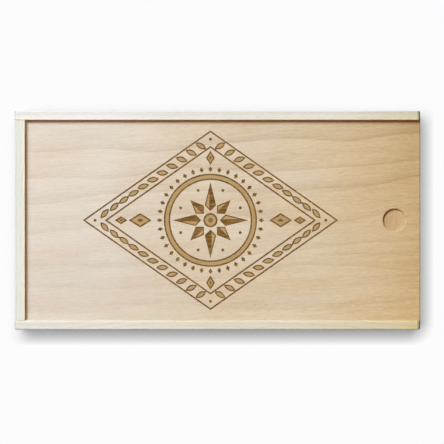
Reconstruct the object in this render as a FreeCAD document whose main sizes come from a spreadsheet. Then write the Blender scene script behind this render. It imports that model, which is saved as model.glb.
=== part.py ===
# Wooden gift box: four grooved boards, a plywood base held in their grooves and a lid that slides out.
# X runs along the box, and the lid leaves towards +X. Y runs across it, and Z is up with the floor at zero.
# The origin is on the floor, under the middle of the four boards.

import FreeCAD
import Part
import Sketcher
import os

SIZES = (
    ("box_length", 352, "side boards, end to end"),
    ("box_width", 190, "over both side boards"),
    ("box_height", 100, "side boards and closed end, floor to top"),
    ("side_thickness", 8, "side boards"),
    ("end_thickness", 9, "end boards"),
    ("groove_depth", 4, "all grooves, from the inner face of a board"),
    ("edge_ease", 0.8, "rounding of the edges that a hand meets"),
    ("corner_ease", 1.5, "rounding of the four upright corners"),
    ("rail_end_ease", 1.3, "rounding of the side boards' upper ends"),
    ("lid_lip", 4, "wood above the lid groove"),
    ("lid_headroom", 0.5, "free height above the lid in its groove"),
    ("lid_side_gap", 0.4, "from an edge of the lid to the bottom of its groove"),
    ("lid_end_gap", 0.3, "from the open end board up to the lid"),
    ("lid_overhang", 0.3, "lid past the side boards at the open end"),
    ("lid_ease", 1, "rounding of the lid's upper edges"),
    ("lid_face_ply", 1.8, "upper ply of the lid"),
    ("lid_core_ply", 1.4, "middle ply of the lid, with its grain across"),
    ("lid_back_ply", 1.8, "lower ply of the lid"),
    ("finger_diameter", 20, "finger recess in the lid"),
    ("finger_setback", 22.5, "from the lid's front edge to the middle of the recess"),
    ("finger_core_depth", 0.6, "depth of the recess in the middle ply"),
    ("base_lip", 5, "wood below the base groove"),
    ("base_headroom", 0.3, "free height above the base in its groove"),
    ("base_side_gap", 0.4, "from an edge of the base to the bottom of its groove"),
    ("base_face_ply", 1.2, "upper ply of the base"),
    ("base_core_ply", 1.6, "middle ply of the base, with its grain across"),
    ("base_back_ply", 1.2, "lower ply of the base"),
    ("brad_count", 3, "brads in each corner"),
    ("brad_margin", 18, "from the floor to the lowest brad, and from the highest to the top of the open end"),
    ("brad_length", 25, "head to point"),
    ("brad_width", 1.25, "shank, along the height of the box"),
    ("brad_thickness", 1.05, "shank, along the thickness of the end board"),
    ("brad_head_width", 2, "head, along the height of the box"),
    ("brad_head_height", 1.2, "head, along the shank"),
    ("brad_point", 2, "length of the chisel point"),
    ("brad_set", 0.4, "depth of the head below the board's face"),
)

ZERO = "0"
TOUCH = 1e-4  # two coordinates closer than this are one place

# Places and sizes that follow from the sheet, as expressions.
LID_THICKNESS = "(Sizes.lid_face_ply + Sizes.lid_core_ply + Sizes.lid_back_ply)"
BASE_THICKNESS = "(Sizes.base_face_ply + Sizes.base_core_ply + Sizes.base_back_ply)"
LID_GROOVE_TOP = "(Sizes.box_height - Sizes.lid_lip)"
LID_GROOVE_FLOOR = f"({LID_GROOVE_TOP} - Sizes.lid_headroom - {LID_THICKNESS})"
BASE_GROOVE_TOP = f"(Sizes.base_lip + {BASE_THICKNESS} + Sizes.base_headroom)"
INNER_LENGTH = "(Sizes.box_length - 2 * Sizes.end_thickness)"
INNER_WIDTH = "(Sizes.box_width - 2 * Sizes.side_thickness)"
OPEN_END_HEIGHT = f"({LID_GROOVE_FLOOR} - Sizes.lid_end_gap)"
LID_INSERTION = "(Sizes.groove_depth - Sizes.lid_side_gap)"
LID_LENGTH = f"(Sizes.box_length - Sizes.end_thickness + {LID_INSERTION} + Sizes.lid_overhang)"
LID_WIDTH = f"({INNER_WIDTH} + 2 * {LID_INSERTION})"
BASE_INSERTION = "(Sizes.groove_depth - Sizes.base_side_gap)"
BASE_LENGTH = f"({INNER_LENGTH} + 2 * {BASE_INSERTION})"
BASE_WIDTH = f"({INNER_WIDTH} + 2 * {BASE_INSERTION})"
BRAD_INSET = "(Sizes.end_thickness / 2)"
BRAD_RISE = f"({OPEN_END_HEIGHT} - 2 * Sizes.brad_margin)"
BRAD_DEPTH_IN_END = "(Sizes.brad_set + Sizes.brad_length - Sizes.side_thickness)"

doc = FreeCAD.newDocument("gift_box")
sheet = doc.addObject("Spreadsheet::Sheet", "Sizes")
sub_parts = []


def fill_sheet():
    for row, (alias, number, meaning) in enumerate(SIZES, start=1):
        sheet.set(f"A{row}", alias)
        sheet.set(f"B{row}", str(number))
        sheet.setAlias(f"B{row}", alias)
        sheet.set(f"C{row}", meaning)
    doc.recompute()


def value(expression):
    return float(sheet.evalExpression(expression))


def new_body(label):
    body = doc.addObject("PartDesign::Body", label)
    body.Label = label
    sub_parts.append(body)
    return body


def place(body, x, y, z, turn=0):
    """Puts a body's own origin at x, y, z, turned about Z by that many degrees."""
    body.Placement = FreeCAD.Placement(FreeCAD.Vector(), FreeCAD.Rotation(FreeCAD.Vector(0, 0, 1), turn))
    body.setExpression("Placement.Base.x", x)
    body.setExpression("Placement.Base.y", y)
    body.setExpression("Placement.Base.z", z)


def new_sketch(body, name, plane, offset=ZERO):
    """A sketch on one of the body's own planes, moved along the plane's normal."""
    sketch = body.newObject("Sketcher::SketchObject", f"{body.Name}_{name}")
    support = next(feature for feature in body.Origin.OriginFeatures if feature.Role == plane)
    sketch.AttachmentSupport = (support, [""])
    sketch.MapMode = "FlatFace"
    sketch.setExpression("AttachmentOffset.Base.z", offset)
    return sketch


def hold(sketch, kind, geometry, point, expression, name):
    """Ties one coordinate of a point to an expression, or to the axis where that is zero."""
    if expression == ZERO:
        axis = -2 if kind == "DistanceX" else -1
        sketch.addConstraint(Sketcher.Constraint("PointOnObject", geometry, point, axis))
        return
    index = sketch.addConstraint(Sketcher.Constraint(kind, -1, 1, geometry, point, value(expression)))
    sketch.renameConstraint(index, name)
    sketch.setExpression(f"Constraints.{name}", expression)


def draw_outline(sketch, name, points):
    """A closed outline of straight lines through points, each a pair of expressions."""
    corners = [FreeCAD.Vector(value(across), value(up), 0) for across, up in points]
    first = sketch.GeometryCount
    for corner, following in zip(corners, corners[1:] + corners[:1]):
        sketch.addGeometry(Part.LineSegment(corner, following), False)
    last = sketch.GeometryCount - 1
    for line in range(first, last):
        sketch.addConstraint(Sketcher.Constraint("Coincident", line, 2, line + 1, 1))
    sketch.addConstraint(Sketcher.Constraint("Coincident", last, 2, first, 1))
    for number, (across, up) in enumerate(points):
        line = first + number
        before = points[number - 1] if number else (None, None)
        if across == before[0]:
            sketch.addConstraint(Sketcher.Constraint("Vertical", line - 1))
        else:
            hold(sketch, "DistanceX", line, 1, across, f"{name}_across_{number}")
        if up == before[1]:
            sketch.addConstraint(Sketcher.Constraint("Horizontal", line - 1))
        else:
            hold(sketch, "DistanceY", line, 1, up, f"{name}_up_{number}")


def draw_brad_slot(sketch, name, middle, height):
    """The lowest brad's slot: as wide as the wire, about a middle, and as high as asked."""
    left = f"({middle} - Sizes.brad_thickness / 2)"
    right = f"({middle} + Sizes.brad_thickness / 2)"
    bottom = f"(Sizes.brad_margin - {height} / 2)"
    top = f"(Sizes.brad_margin + {height} / 2)"
    draw_outline(sketch, name, [(left, bottom), (right, bottom), (right, top), (left, top)])


def draw_circle(sketch, name, middle_across, middle_up, diameter):
    centre = FreeCAD.Vector(value(middle_across), value(middle_up), 0)
    circle = sketch.addGeometry(Part.Circle(centre, FreeCAD.Vector(0, 0, 1), value(diameter) / 2), False)
    hold(sketch, "DistanceX", circle, 3, middle_across, f"{name}_across")
    hold(sketch, "DistanceY", circle, 3, middle_up, f"{name}_up")
    index = sketch.addConstraint(Sketcher.Constraint("Diameter", circle, value(diameter)))
    sketch.renameConstraint(index, f"{name}_diameter")
    sketch.setExpression(f"Constraints.{name}_diameter", diameter)


def pad(body, sketch, length):
    feature = body.newObject("PartDesign::Pad", f"{sketch.Name}_pad")
    feature.Profile = sketch
    feature.setExpression("Length", length)
    doc.recompute()
    return feature


def pocket(body, sketch, depth=None, forward=False):
    """Cuts a sketch into the body against its normal, or along it, to a depth or right through."""
    before = body.Shape.Volume
    feature = body.newObject("PartDesign::Pocket", f"{sketch.Name}_pocket")
    feature.Profile = sketch
    feature.Reversed = forward
    if depth is None:
        feature.Type = "ThroughAll"
    else:
        feature.setExpression("Length", depth)
    doc.recompute()
    if body.Shape.Volume >= before:
        raise RuntimeError(f"{feature.Name} cut nothing")
    return feature


def repeat_upwards(body, sketch, features):
    """Repeats features up the height of the box, once for each brad in a corner."""
    pattern = body.newObject("PartDesign::LinearPattern", f"{sketch.Name}_pattern")
    pattern.Originals = features
    pattern.Direction = (sketch, ["V_Axis"])
    pattern.setExpression("Length", BRAD_RISE)
    pattern.setExpression("Occurrences", "Sizes.brad_count")
    body.Tip = pattern
    doc.recompute()


def lies_on(edge, face):
    axis, where = face
    box = edge.BoundBox
    ends = (getattr(box, f"{axis}Min"), getattr(box, f"{axis}Max"))
    return all(abs(end - value(where)) < TOUCH for end in ends)


def ease(body, radius, pairs):
    """Rounds each edge where a pair of flat faces meets. A face is an axis and a place on it."""
    base = body.Tip
    chosen = []
    for number, edge in enumerate(base.Shape.Edges, start=1):
        if any(lies_on(edge, one) and lies_on(edge, other) for one, other in pairs):
            chosen.append(f"Edge{number}")
    fillet = body.newObject("PartDesign::Fillet", f"{body.Name}_ease")
    fillet.Base = (base, chosen)
    fillet.setExpression("Radius", radius)
    doc.recompute()


def grooved_board(label, length, thickness, height, takes_lid):
    """A board moulded with its grooves along its inner face. Its outer face is at y zero."""
    body = new_body(label)
    bottom_of_groove = f"({thickness} - Sizes.groove_depth)"
    points = [
        (ZERO, ZERO),
        (thickness, ZERO),
        (thickness, "Sizes.base_lip"),
        (bottom_of_groove, "Sizes.base_lip"),
        (bottom_of_groove, BASE_GROOVE_TOP),
        (thickness, BASE_GROOVE_TOP),
    ]
    if takes_lid:
        points += [
            (thickness, LID_GROOVE_FLOOR),
            (bottom_of_groove, LID_GROOVE_FLOOR),
            (bottom_of_groove, LID_GROOVE_TOP),
            (thickness, LID_GROOVE_TOP),
        ]
    points += [(thickness, height), (ZERO, height)]
    profile = new_sketch(body, "profile", "YZ_Plane")
    draw_outline(profile, "profile", points)
    pad(body, profile, length)
    return body


def side_board(label):
    """A full-length board with the brads' slots right through it near both ends."""
    length = "Sizes.box_length"
    thickness = "Sizes.side_thickness"
    height = "Sizes.box_height"
    body = grooved_board(label, length, thickness, height, takes_lid=True)
    heads = new_sketch(body, "heads", "XZ_Plane")
    shanks = new_sketch(body, "shanks", "XZ_Plane")
    for name, across in (("near", BRAD_INSET), ("far", f"({length} - {BRAD_INSET})")):
        draw_brad_slot(heads, name, across, "Sizes.brad_head_width")
        draw_brad_slot(shanks, name, across, "Sizes.brad_width")
    cuts = [pocket(body, heads, "Sizes.brad_set + Sizes.brad_head_height"), pocket(body, shanks)]
    repeat_upwards(body, heads, cuts)
    outer, floor, top = ("Y", ZERO), ("Z", ZERO), ("Z", height)
    ends = [("X", ZERO), ("X", length)]
    ease(body, "Sizes.corner_ease", [(end, outer) for end in ends])
    ease(body, "Sizes.rail_end_ease", [(end, top) for end in ends])
    lower_ends = [(end, floor) for end in ends]
    ease(body, "Sizes.edge_ease", lower_ends + [(outer, floor), (outer, top), (("Y", thickness), top)])
    return body


def end_board(label, height, takes_lid):
    """A board that fits between the side boards, with the brads' slots in its end grain."""
    thickness = "Sizes.end_thickness"
    body = grooved_board(label, INNER_WIDTH, thickness, height, takes_lid)
    cuts = []
    for name, offset, forward in (("near", ZERO, True), ("far", INNER_WIDTH, False)):
        points = new_sketch(body, f"{name}_points", "YZ_Plane", offset)
        draw_brad_slot(points, name, BRAD_INSET, "Sizes.brad_width")
        cuts.append(pocket(body, points, BRAD_DEPTH_IN_END, forward))
    repeat_upwards(body, points, cuts)
    outer, floor, top = ("Y", ZERO), ("Z", ZERO), ("Z", height)
    ease(body, "Sizes.edge_ease", [(outer, floor), (outer, top), (("Y", thickness), top)])
    return body


def ply(label, length, width, thickness):
    body = new_body(label)
    sheet_outline = new_sketch(body, "outline", "XY_Plane")
    draw_outline(sheet_outline, "outline", [(ZERO, ZERO), (length, ZERO), (length, width), (ZERO, width)])
    pad(body, sheet_outline, thickness)
    return body


def cut_finger_recess(body, top, depth=None):
    circle = new_sketch(body, "recess", "XY_Plane", top)
    along = f"({LID_LENGTH} - Sizes.finger_setback)"
    draw_circle(circle, "recess", along, f"({LID_WIDTH} / 2)", "Sizes.finger_diameter")
    pocket(body, circle, depth)


def make_boards():
    half_length = "(Sizes.box_length / 2)"
    half_width = "(Sizes.box_width / 2)"
    half_inner = f"({INNER_WIDTH} / 2)"
    place(side_board("front_side"), f"-{half_length}", f"-{half_width}", ZERO)
    place(side_board("back_side"), half_length, half_width, ZERO, turn=180)
    place(end_board("closed_end", "Sizes.box_height", True), f"-{half_length}", half_inner, ZERO, turn=-90)
    place(end_board("open_end", OPEN_END_HEIGHT, False), half_length, f"-{half_inner}", ZERO, turn=90)


def make_base():
    """The base is three plies, lying on the lower lips of the boards' grooves."""
    left = f"(-{BASE_LENGTH} / 2)"
    front = f"(-{BASE_WIDTH} / 2)"
    height = "Sizes.base_lip"
    for label in ("base_back_ply", "base_core_ply", "base_face_ply"):
        thickness = f"Sizes.{label}"
        place(ply(label, BASE_LENGTH, BASE_WIDTH, thickness), left, front, height)
        height = f"({height} + {thickness})"


def make_lid():
    """The lid is three plies, lying on the floors of the lid grooves. The recess stops in the middle one."""
    left = f"(-Sizes.box_length / 2 + Sizes.end_thickness - {LID_INSERTION})"
    front = f"(-{LID_WIDTH} / 2)"
    back_ply = ply("lid_back_ply", LID_LENGTH, LID_WIDTH, "Sizes.lid_back_ply")
    core_ply = ply("lid_core_ply", LID_LENGTH, LID_WIDTH, "Sizes.lid_core_ply")
    face_ply = ply("lid_face_ply", LID_LENGTH, LID_WIDTH, "Sizes.lid_face_ply")
    cut_finger_recess(core_ply, "Sizes.lid_core_ply", "Sizes.finger_core_depth")
    cut_finger_recess(face_ply, "Sizes.lid_face_ply")
    top = ("Z", "Sizes.lid_face_ply")
    sides = [("X", ZERO), ("X", LID_LENGTH), ("Y", ZERO), ("Y", LID_WIDTH)]
    ease(face_ply, "Sizes.lid_ease", [(side, top) for side in sides])
    height = LID_GROOVE_FLOOR
    for body in (back_ply, core_ply, face_ply):
        place(body, left, front, height)
        height = f"({height} + Sizes.{body.Label})"


def brads(label):
    """One corner's brads, each a flat wire with a wider head and a chisel point, driven along Y."""
    body = new_body(label)
    head = "Sizes.brad_set"
    neck = f"({head} + Sizes.brad_head_height)"
    tip = f"({head} + Sizes.brad_length)"
    shoulder = f"({tip} - Sizes.brad_point)"
    middle = "(Sizes.brad_head_width / 2)"
    lower = f"({middle} - Sizes.brad_width / 2)"
    upper = f"({middle} + Sizes.brad_width / 2)"
    outline = new_sketch(body, "outline", "YZ_Plane")
    draw_outline(
        outline,
        "outline",
        [
            (head, ZERO),
            (neck, ZERO),
            (neck, lower),
            (shoulder, lower),
            (tip, middle),
            (shoulder, upper),
            (neck, upper),
            (neck, "Sizes.brad_head_width"),
            (head, "Sizes.brad_head_width"),
        ],
    )
    wire = pad(body, outline, "Sizes.brad_thickness")
    repeat_upwards(body, outline, [wire])
    return body


def make_brads():
    """Each brad is driven through a side board into the middle of an end board's end grain."""
    half_wire = "Sizes.brad_thickness / 2"
    half_width = "Sizes.box_width / 2"
    height = "Sizes.brad_margin - Sizes.brad_head_width / 2"
    closed = f"-Sizes.box_length / 2 + {BRAD_INSET}"
    opened = f"Sizes.box_length / 2 - {BRAD_INSET}"
    for end, along in (("closed", closed), ("open", opened)):
        place(brads(f"{end}_front_brads"), f"{along} - {half_wire}", f"-{half_width}", height)
        place(brads(f"{end}_back_brads"), f"{along} + {half_wire}", half_width, height, turn=180)


def check():
    for thing in doc.Objects:
        if "Invalid" in thing.State or "Error" in thing.State:
            raise RuntimeError(f"{thing.Label} failed: {thing.State}")
    for body in sub_parts:
        if body.Shape.isNull() or not body.Shape.isValid():
            raise RuntimeError(f"{body.Label} has no valid shape")


def write():
    os.makedirs("parts", exist_ok=True)
    for body in sub_parts:
        body.Shape.exportStep(f"parts/{body.Label}.step")
        print(body.Label, len(body.Shape.Solids), "solids", round(body.Shape.Volume, 2), "mm3")


fill_sheet()
make_boards()
make_base()
make_lid()
make_brads()
doc.recompute()
check()
write()
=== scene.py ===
"""Looks of the wooden gift box: planed boards, plywood, an engraved lid face and a plain pale stage."""

import math
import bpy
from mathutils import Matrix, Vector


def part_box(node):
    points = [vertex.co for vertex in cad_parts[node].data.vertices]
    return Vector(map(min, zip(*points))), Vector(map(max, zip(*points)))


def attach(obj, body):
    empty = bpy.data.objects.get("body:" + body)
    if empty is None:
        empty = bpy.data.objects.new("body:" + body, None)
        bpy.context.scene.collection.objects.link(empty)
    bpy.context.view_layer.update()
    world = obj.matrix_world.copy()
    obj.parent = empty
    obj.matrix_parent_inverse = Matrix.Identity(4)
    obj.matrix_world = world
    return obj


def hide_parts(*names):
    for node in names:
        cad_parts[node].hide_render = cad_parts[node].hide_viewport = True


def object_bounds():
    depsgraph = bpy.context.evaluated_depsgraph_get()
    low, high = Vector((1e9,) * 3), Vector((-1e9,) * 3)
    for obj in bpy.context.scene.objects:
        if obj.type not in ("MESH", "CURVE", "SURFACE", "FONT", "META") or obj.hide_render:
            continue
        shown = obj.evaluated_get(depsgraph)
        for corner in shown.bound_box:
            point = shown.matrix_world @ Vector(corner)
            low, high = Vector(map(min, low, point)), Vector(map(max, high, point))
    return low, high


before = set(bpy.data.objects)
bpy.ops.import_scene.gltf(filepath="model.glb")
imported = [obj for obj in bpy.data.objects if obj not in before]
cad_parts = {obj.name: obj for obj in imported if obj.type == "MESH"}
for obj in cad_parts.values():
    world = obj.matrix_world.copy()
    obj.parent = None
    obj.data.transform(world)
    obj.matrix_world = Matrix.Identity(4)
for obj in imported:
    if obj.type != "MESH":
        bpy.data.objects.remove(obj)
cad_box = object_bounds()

from types import SimpleNamespace
from typing import NamedTuple

import bmesh
import bpy
from mathutils import Vector

bl_info = {
    "name": "Wooden gift box",
    "version": (1, 0, 0),
    "blender": (4, 5, 0),
    "location": "View3D > Sidebar > Gift box",
    "description": "Finishes the boards, plies and brads of a gift box and engraves its sliding lid",
    "category": "Object",
}

MM = 0.001
FULL_TURN = 2 * math.pi
QUARTER_TURN = FULL_TURN / 4
DOWN = (0.0, 0.0, -1.0)

# Pieces of the box, by what they are made of

LID_FACE = "lid_face_ply"
LID_BODY = "lid"
PLAIN_PLIES = ("lid_back_ply", "base_back_ply", "base_face_ply")
CORE_PLIES = ("lid_core_ply", "base_core_ply")
BRADS = ("closed_front_brads", "closed_back_brads", "open_front_brads", "open_back_brads")


class BoardCut(NamedTuple):
    """How a board was cut from the log, and how it looks.

    The axes run along, across and through its grain, and inward is the way from it to the inside of the box.
    """

    axes: str
    inward: int
    pith_across: float
    pith_through: float
    shift: float
    pale: str
    warm: str
    # Painted light along the outer upper edge where above 0, painted shade where below 0
    outer_edge_light_share: float
    # Painted shade on the top at the board's far end along its grain, where below 0
    end_shade_share: float


BOARD_CUTS = {
    # The front's outer edge gets painted light, the back's and the closed end's get painted shade; the sides
    # get painted shade on their tops at the open end
    "front_side": BoardCut(
        axes="XZY", inward=1, pith_across=14 * MM, pith_through=-62 * MM, shift=0.0,
        pale="front_pale", warm="front_warm", outer_edge_light_share=0.12, end_shade_share=-0.48),
    "back_side": BoardCut(
        axes="XZY", inward=-1, pith_across=-22 * MM, pith_through=48 * MM, shift=7.3,
        pale="back_pale", warm="back_warm", outer_edge_light_share=-0.09, end_shade_share=-0.48),
    "closed_end": BoardCut(
        axes="YZX", inward=1, pith_across=30 * MM, pith_through=-40 * MM, shift=13.1,
        pale="end_pale", warm="end_pale", outer_edge_light_share=-0.08, end_shade_share=0.0),
    "open_end": BoardCut(
        axes="YZX", inward=-1, pith_across=-12 * MM, pith_through=55 * MM, shift=21.7,
        pale="front_warm", warm="front_warm", outer_edge_light_share=0.0, end_shade_share=0.0),
}


# Pattern sizes, in metres, and strengths, as shares of the brightness

class Figure(NamedTuple):
    """The pattern of a wood: rings, broad bands, fibres and pores."""

    ring_spacing: float
    ring_length: float
    ring_width: float
    ring_swing: float
    ring_share: float
    band_length: float
    band_width: float
    band_share: float
    fibre_length: float
    fibre_width: float
    fibre_share: float
    pore_length: float
    pore_width: float
    pore_share: float
    relief: float


LID_FIGURE = Figure(
    ring_spacing=24 * MM, ring_length=170 * MM, ring_width=44 * MM, ring_swing=2.2, ring_share=0.065,
    band_length=120 * MM, band_width=9 * MM, band_share=0.13,
    fibre_length=30 * MM, fibre_width=0.9 * MM, fibre_share=0.18,
    pore_length=1.8 * MM, pore_width=0.3 * MM, pore_share=0.09,
    relief=0.03 * MM,
)
BOARD_FIGURE = Figure(
    ring_spacing=3.6 * MM, ring_length=260 * MM, ring_width=70 * MM, ring_swing=30 * MM, ring_share=0.07,
    band_length=160 * MM, band_width=14 * MM, band_share=0.08,
    fibre_length=26 * MM, fibre_width=0.8 * MM, fibre_share=0.12,
    pore_length=3 * MM, pore_width=0.26 * MM, pore_share=0.07,
    relief=0.04 * MM,
)
CORE_FIGURE = Figure(
    ring_spacing=18 * MM, ring_length=90 * MM, ring_width=30 * MM, ring_swing=4.0, ring_share=0.06,
    band_length=60 * MM, band_width=2.6 * MM, band_share=0.28,
    fibre_length=16 * MM, fibre_width=0.62 * MM, fibre_share=0.6,
    pore_length=2.2 * MM, pore_width=0.3 * MM, pore_share=0.16,
    relief=0.05 * MM,
)
RING_SHARPNESS = 3.0
GRAIN_TINT_SHARES = (1.0, 1.25, 1.55)
WARM_GRAIN_SHARE = 0.8
RIPPLE_LENGTH = 6 * MM
RIPPLE_WIDTH = 1.1 * MM
RIPPLE_SHARE = 0.16
UPPER_EDGE_WIDTH = 2.4 * MM
# Width of the painted shade on the sides' tops at the open end
END_SHADE_WIDTH = 3 * MM
EDGE_FADE_SHARES = (0.45, 1.0)
# Lighter, creamier inner upper edges: partly sanded wear, partly a painted highlight
INNER_WEAR_AND_HIGHLIGHT_SHARES = (0.14, 0.04, -0.05)
PORE_EDGE_SHARES = (0.60, 0.72)
TINGE_LENGTH = 70 * MM
TINGE_WIDTH = 26 * MM
TINGE_EDGE_SHARES = (0.32, 0.68)
TINGE_SHARE = 0.55
CORE_TINGE_SHARE = 0.22
# Warmer and darker towards the open end: partly the wood's own tone, partly painted falloff of the light
WARMTH_MIDDLE_SHARE = 0.55
WARMTH_LEVEL_SHARE = 0.34
WARMTH_SLOPE = 0.45
WARMTH_BEND = 5.7
BOARD_WARMTH_POWER = 1.1
WARMTH_SPREAD_SHARE = 0.30
# Painted light and shade across the lid from its front to its back
BACK_LIGHT_SHARE = 0.03
BACK_SHADE_SHARE = 0.08
BACK_RING_SHARE = 0.6
# Painted shade on the lid beside the rails and the closed end: its width, where it fades, and how much each
# colour part darkens
GROOVE_SHADE_WIDTH = 7 * MM
GROOVE_SHADE_EDGE_SHARES = (0.10, 1.0)
GROOVE_SHADE_SHARES = (-0.08, -0.10, -0.12)
AMBER_SHARES = (0.13, 0.02, -0.42)
BASE_SHIFT = 5.7
# CORE_SHIFT places the core's random rosy clouds, and was chosen so that one lies at the upper left of the
# finger recess's floor as painted shade
CORE_SHIFT = 8.3
LID_SHIFT = 28.9
LID_LEAN = math.radians(4)
END_GRAIN_EDGE_SHARES = (0.15, 0.60)
END_GRAIN_TONE_SHARE = 0.66
END_PORE_WIDTH = 0.34 * MM
END_PORE_SHARE = 0.30
WOOD_ROUGHNESS = 0.58
WOOD_GLOSS = 0.12
ROUGHNESS_SPREAD = 0.22
NOISE_MIDDLE = 0.5
FINE_DETAIL = 2.0
PLAIN_DETAIL = 1.0

# The engraving's shading

RASTER_PITCH = 0.30 * MM
RASTER_SHARE = 0.10
BURN_LENGTH = 9 * MM
BURN_WIDTH = 1.1 * MM
BURN_EDGE_SHARES = (0.20, 0.90)
BURN_ROUGHNESS = 0.80
BURN_GLOSS = 0.04
SCORCH_SHARE = 0.35

# The brads' brushed steel

BRUSH_LENGTH = 4 * MM
BRUSH_WIDTH = 0.12 * MM
STEEL_ROUGHNESS = 0.30
STEEL_ROUGHNESS_SPREAD = 0.25
STEEL_DARK_SHARE = 0.70

# The engraved lid's outlines

ROUND_POINTS = 64
DOT_POINTS = 20
LENS_POINTS = 24
LOZENGE_POINTS = 4
LOZENGE_SIDES = 4
MAIN_RAYS = 4
ACCENT_SIDES = 2
MIRROR_PERIOD = 2.0
CORNER_LIMIT = 0.5
EASE_STEPS = 3
MERGE_GAP = 0.002 * MM
RIM_MARGIN = 2 * MM
STRAND_TILT = math.radians(36)
HUB_FIELD_SHARE = 0.76
HUB_EYE_SHARE = 0.32
STAR_DOT_SHARE = 0.80
CHIP_GAP_SHARE = 0.25
STRAND_LINE_SHARE = 0.85
RAY_LINE_SHARE = 0.75
ACCENT_EYE_SHARE = 0.28
SMALL_ACCENT_SHARE = 0.56
ACCENT_PLACE_SHARES = (0.55, 0.70)
UPRIGHT_PLACE_SHARE = 0.695
UPRIGHT_SHARE = 0.62

# The stage

PICTURE_SENSOR = 36.0
FLOOR_DROP = 0.2 * MM
SHADE_SAMPLES = 16
SHADE_LEAN = math.radians(78)
SHADE_FULL_SHARE = 0.65
HORIZON_SHARES = (-0.05, 0.05)


def finger_recess():
    """Middle and radius of the recess through the lid's face ply, from the CAD node's own mesh."""
    low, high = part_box(LID_FACE)
    inside = [
        vertex.co.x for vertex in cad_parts[LID_FACE].data.vertices
        if low.x + RIM_MARGIN < vertex.co.x < high.x - RIM_MARGIN
        and low.y + RIM_MARGIN < vertex.co.y < high.y - RIM_MARGIN
    ]
    left, right = min(inside), max(inside)
    return (left + right) / 2, (right - left) / 2


def lid_edge_ease():
    """Rounding of the lid's upper edges, from the CAD node's own mesh."""
    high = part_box(LID_FACE)[1]
    top = [
        vertex.co.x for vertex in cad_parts[LID_FACE].data.vertices
        if vertex.co.z > high.z - MERGE_GAP
    ]
    return high.x - max(top)


def length(name, description, default):
    """A size that a user can change."""
    return bpy.props.FloatProperty(
        name=name, description=description, default=default, min=0.0, precision=5, unit="LENGTH")


def place(name, description, default):
    """A distance from the frame's origin that a user can change."""
    return bpy.props.FloatProperty(name=name, description=description, default=default, unit="LENGTH")


def colour(name, description, default):
    """A colour that a user can change, in linear light."""
    return bpy.props.FloatVectorProperty(
        name=name, description=description, default=default, size=3, min=0.0, max=1.0, subtype="COLOR")


def count(name, description, default):
    """A number of copies that a user can change."""
    return bpy.props.IntProperty(name=name, description=description, default=default, min=1)


class GiftBoxColours(bpy.types.PropertyGroup):
    """Colours of the box's woods, engraving and steel."""

    lid_pale: colour("Lid, pale", "Lid veneer at the closed end", (0.78, 0.705, 0.605))
    lid_rosy: colour("Lid, rosy", "Pinkish clouds in the lid veneer", (0.775, 0.645, 0.525))
    lid_warm: colour("Lid, warm", "Lid veneer at the open end", (0.635, 0.45, 0.228))
    back_pale: colour("Back, pale", "Back side at the closed end", (0.885, 0.87, 0.845))
    back_warm: colour("Back, warm", "Back side at the open end", (0.72, 0.675, 0.495))
    front_pale: colour("Front, pale", "Front side at the closed end", (0.81, 0.805, 0.745))
    front_warm: colour("Front, warm", "Front side at the open end, and the open end", (0.71, 0.60, 0.335))
    end_pale: colour("End, pale", "Closed end", (0.83, 0.84, 0.755))
    base_wood: colour("Base", "Veneer of the base panel", (0.70, 0.60, 0.45))
    core_wood: colour("Core", "Cross-grain core of the plywood", (0.63, 0.455, 0.238))
    core_rosy: colour("Core, rosy", "Pinkish clouds in the core", (0.63, 0.375, 0.205))
    burnt: colour("Burnt", "Deepest burnt lines of the engraving", (0.13, 0.056, 0.009))
    browned: colour("Browned", "Lightest burnt lines of the engraving", (0.38, 0.22, 0.072))
    tinted: colour("Tinted", "Fields of the engraving between its lines", (0.56, 0.39, 0.185))
    steel: colour("Steel", "Heads of the brads", (0.58, 0.57, 0.55))


class GiftBoxLid(bpy.types.PropertyGroup):
    """Sizes of the lid's engraved panel: a lozenge frame with a compass star in it."""

    centre: place("Centre", "Panel's middle along the box", -6 * MM)
    panel_length: length("Panel length", "Frame from tip to tip along the box", 222 * MM)
    panel_breadth: length("Panel breadth", "Frame from tip to tip across the box", 156 * MM)
    band_width: length("Band width", "Distance between the frame's two lines", 11 * MM)
    line_width: length("Line width", "Width of the burnt lines", 1.35 * MM)
    line_depth: length("Line depth", "Depth of the burnt lines", 0.35 * MM)
    tint_depth: length("Tint depth", "Depth of the tinted fields", 0.2 * MM)
    strand_length: length("Strand length", "Length of a strand in the frame's rope", 11 * MM)
    strand_breadth: length("Strand breadth", "Breadth of a strand in the frame's rope", 5 * MM)
    strand_count: count("Strands", "Strand places on one side of the frame", 12)
    ring_radius: length("Ring radius", "Inside of the ring around the star", 35 * MM)
    ring_width: length("Ring width", "Tinted width of the ring", 2.8 * MM)
    chip_length: length("Chip length", "Radial length of a chip outside the ring", 5 * MM)
    chip_breadth: length("Chip breadth", "Breadth of a chip outside the ring", 3.6 * MM)
    chip_count: count("Chips", "Chips around the ring", 36)
    main_reach: length("Main rays", "Reach of the star's main rays", 33 * MM)
    cross_reach: length("Cross rays", "Reach of the star's cross rays", 25 * MM)
    ray_root: length("Ray root", "Where the rays start", 8 * MM)
    ray_shoulder: length("Ray shoulder", "Where the rays are widest", 13 * MM)
    ray_breadth: length("Ray breadth", "Widest breadth of a ray", 10 * MM)
    hub_radius: length("Hub radius", "Disc in the star's middle", 6.2 * MM)
    accent_length: length("Accent length", "Larger lozenge beside the ring", 20 * MM)
    accent_breadth: length("Accent breadth", "Breadth of the larger lozenge", 12.5 * MM)
    dot_radius: length("Dot radius", "Small round dots", 1.3 * MM)
    edge_ease: length("Edge ease", "Rounding of the lid's upper edges", lid_edge_ease())
    rim_ease: length("Rim ease", "Rounding of the finger recess's rim", 0.6 * MM)


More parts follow.
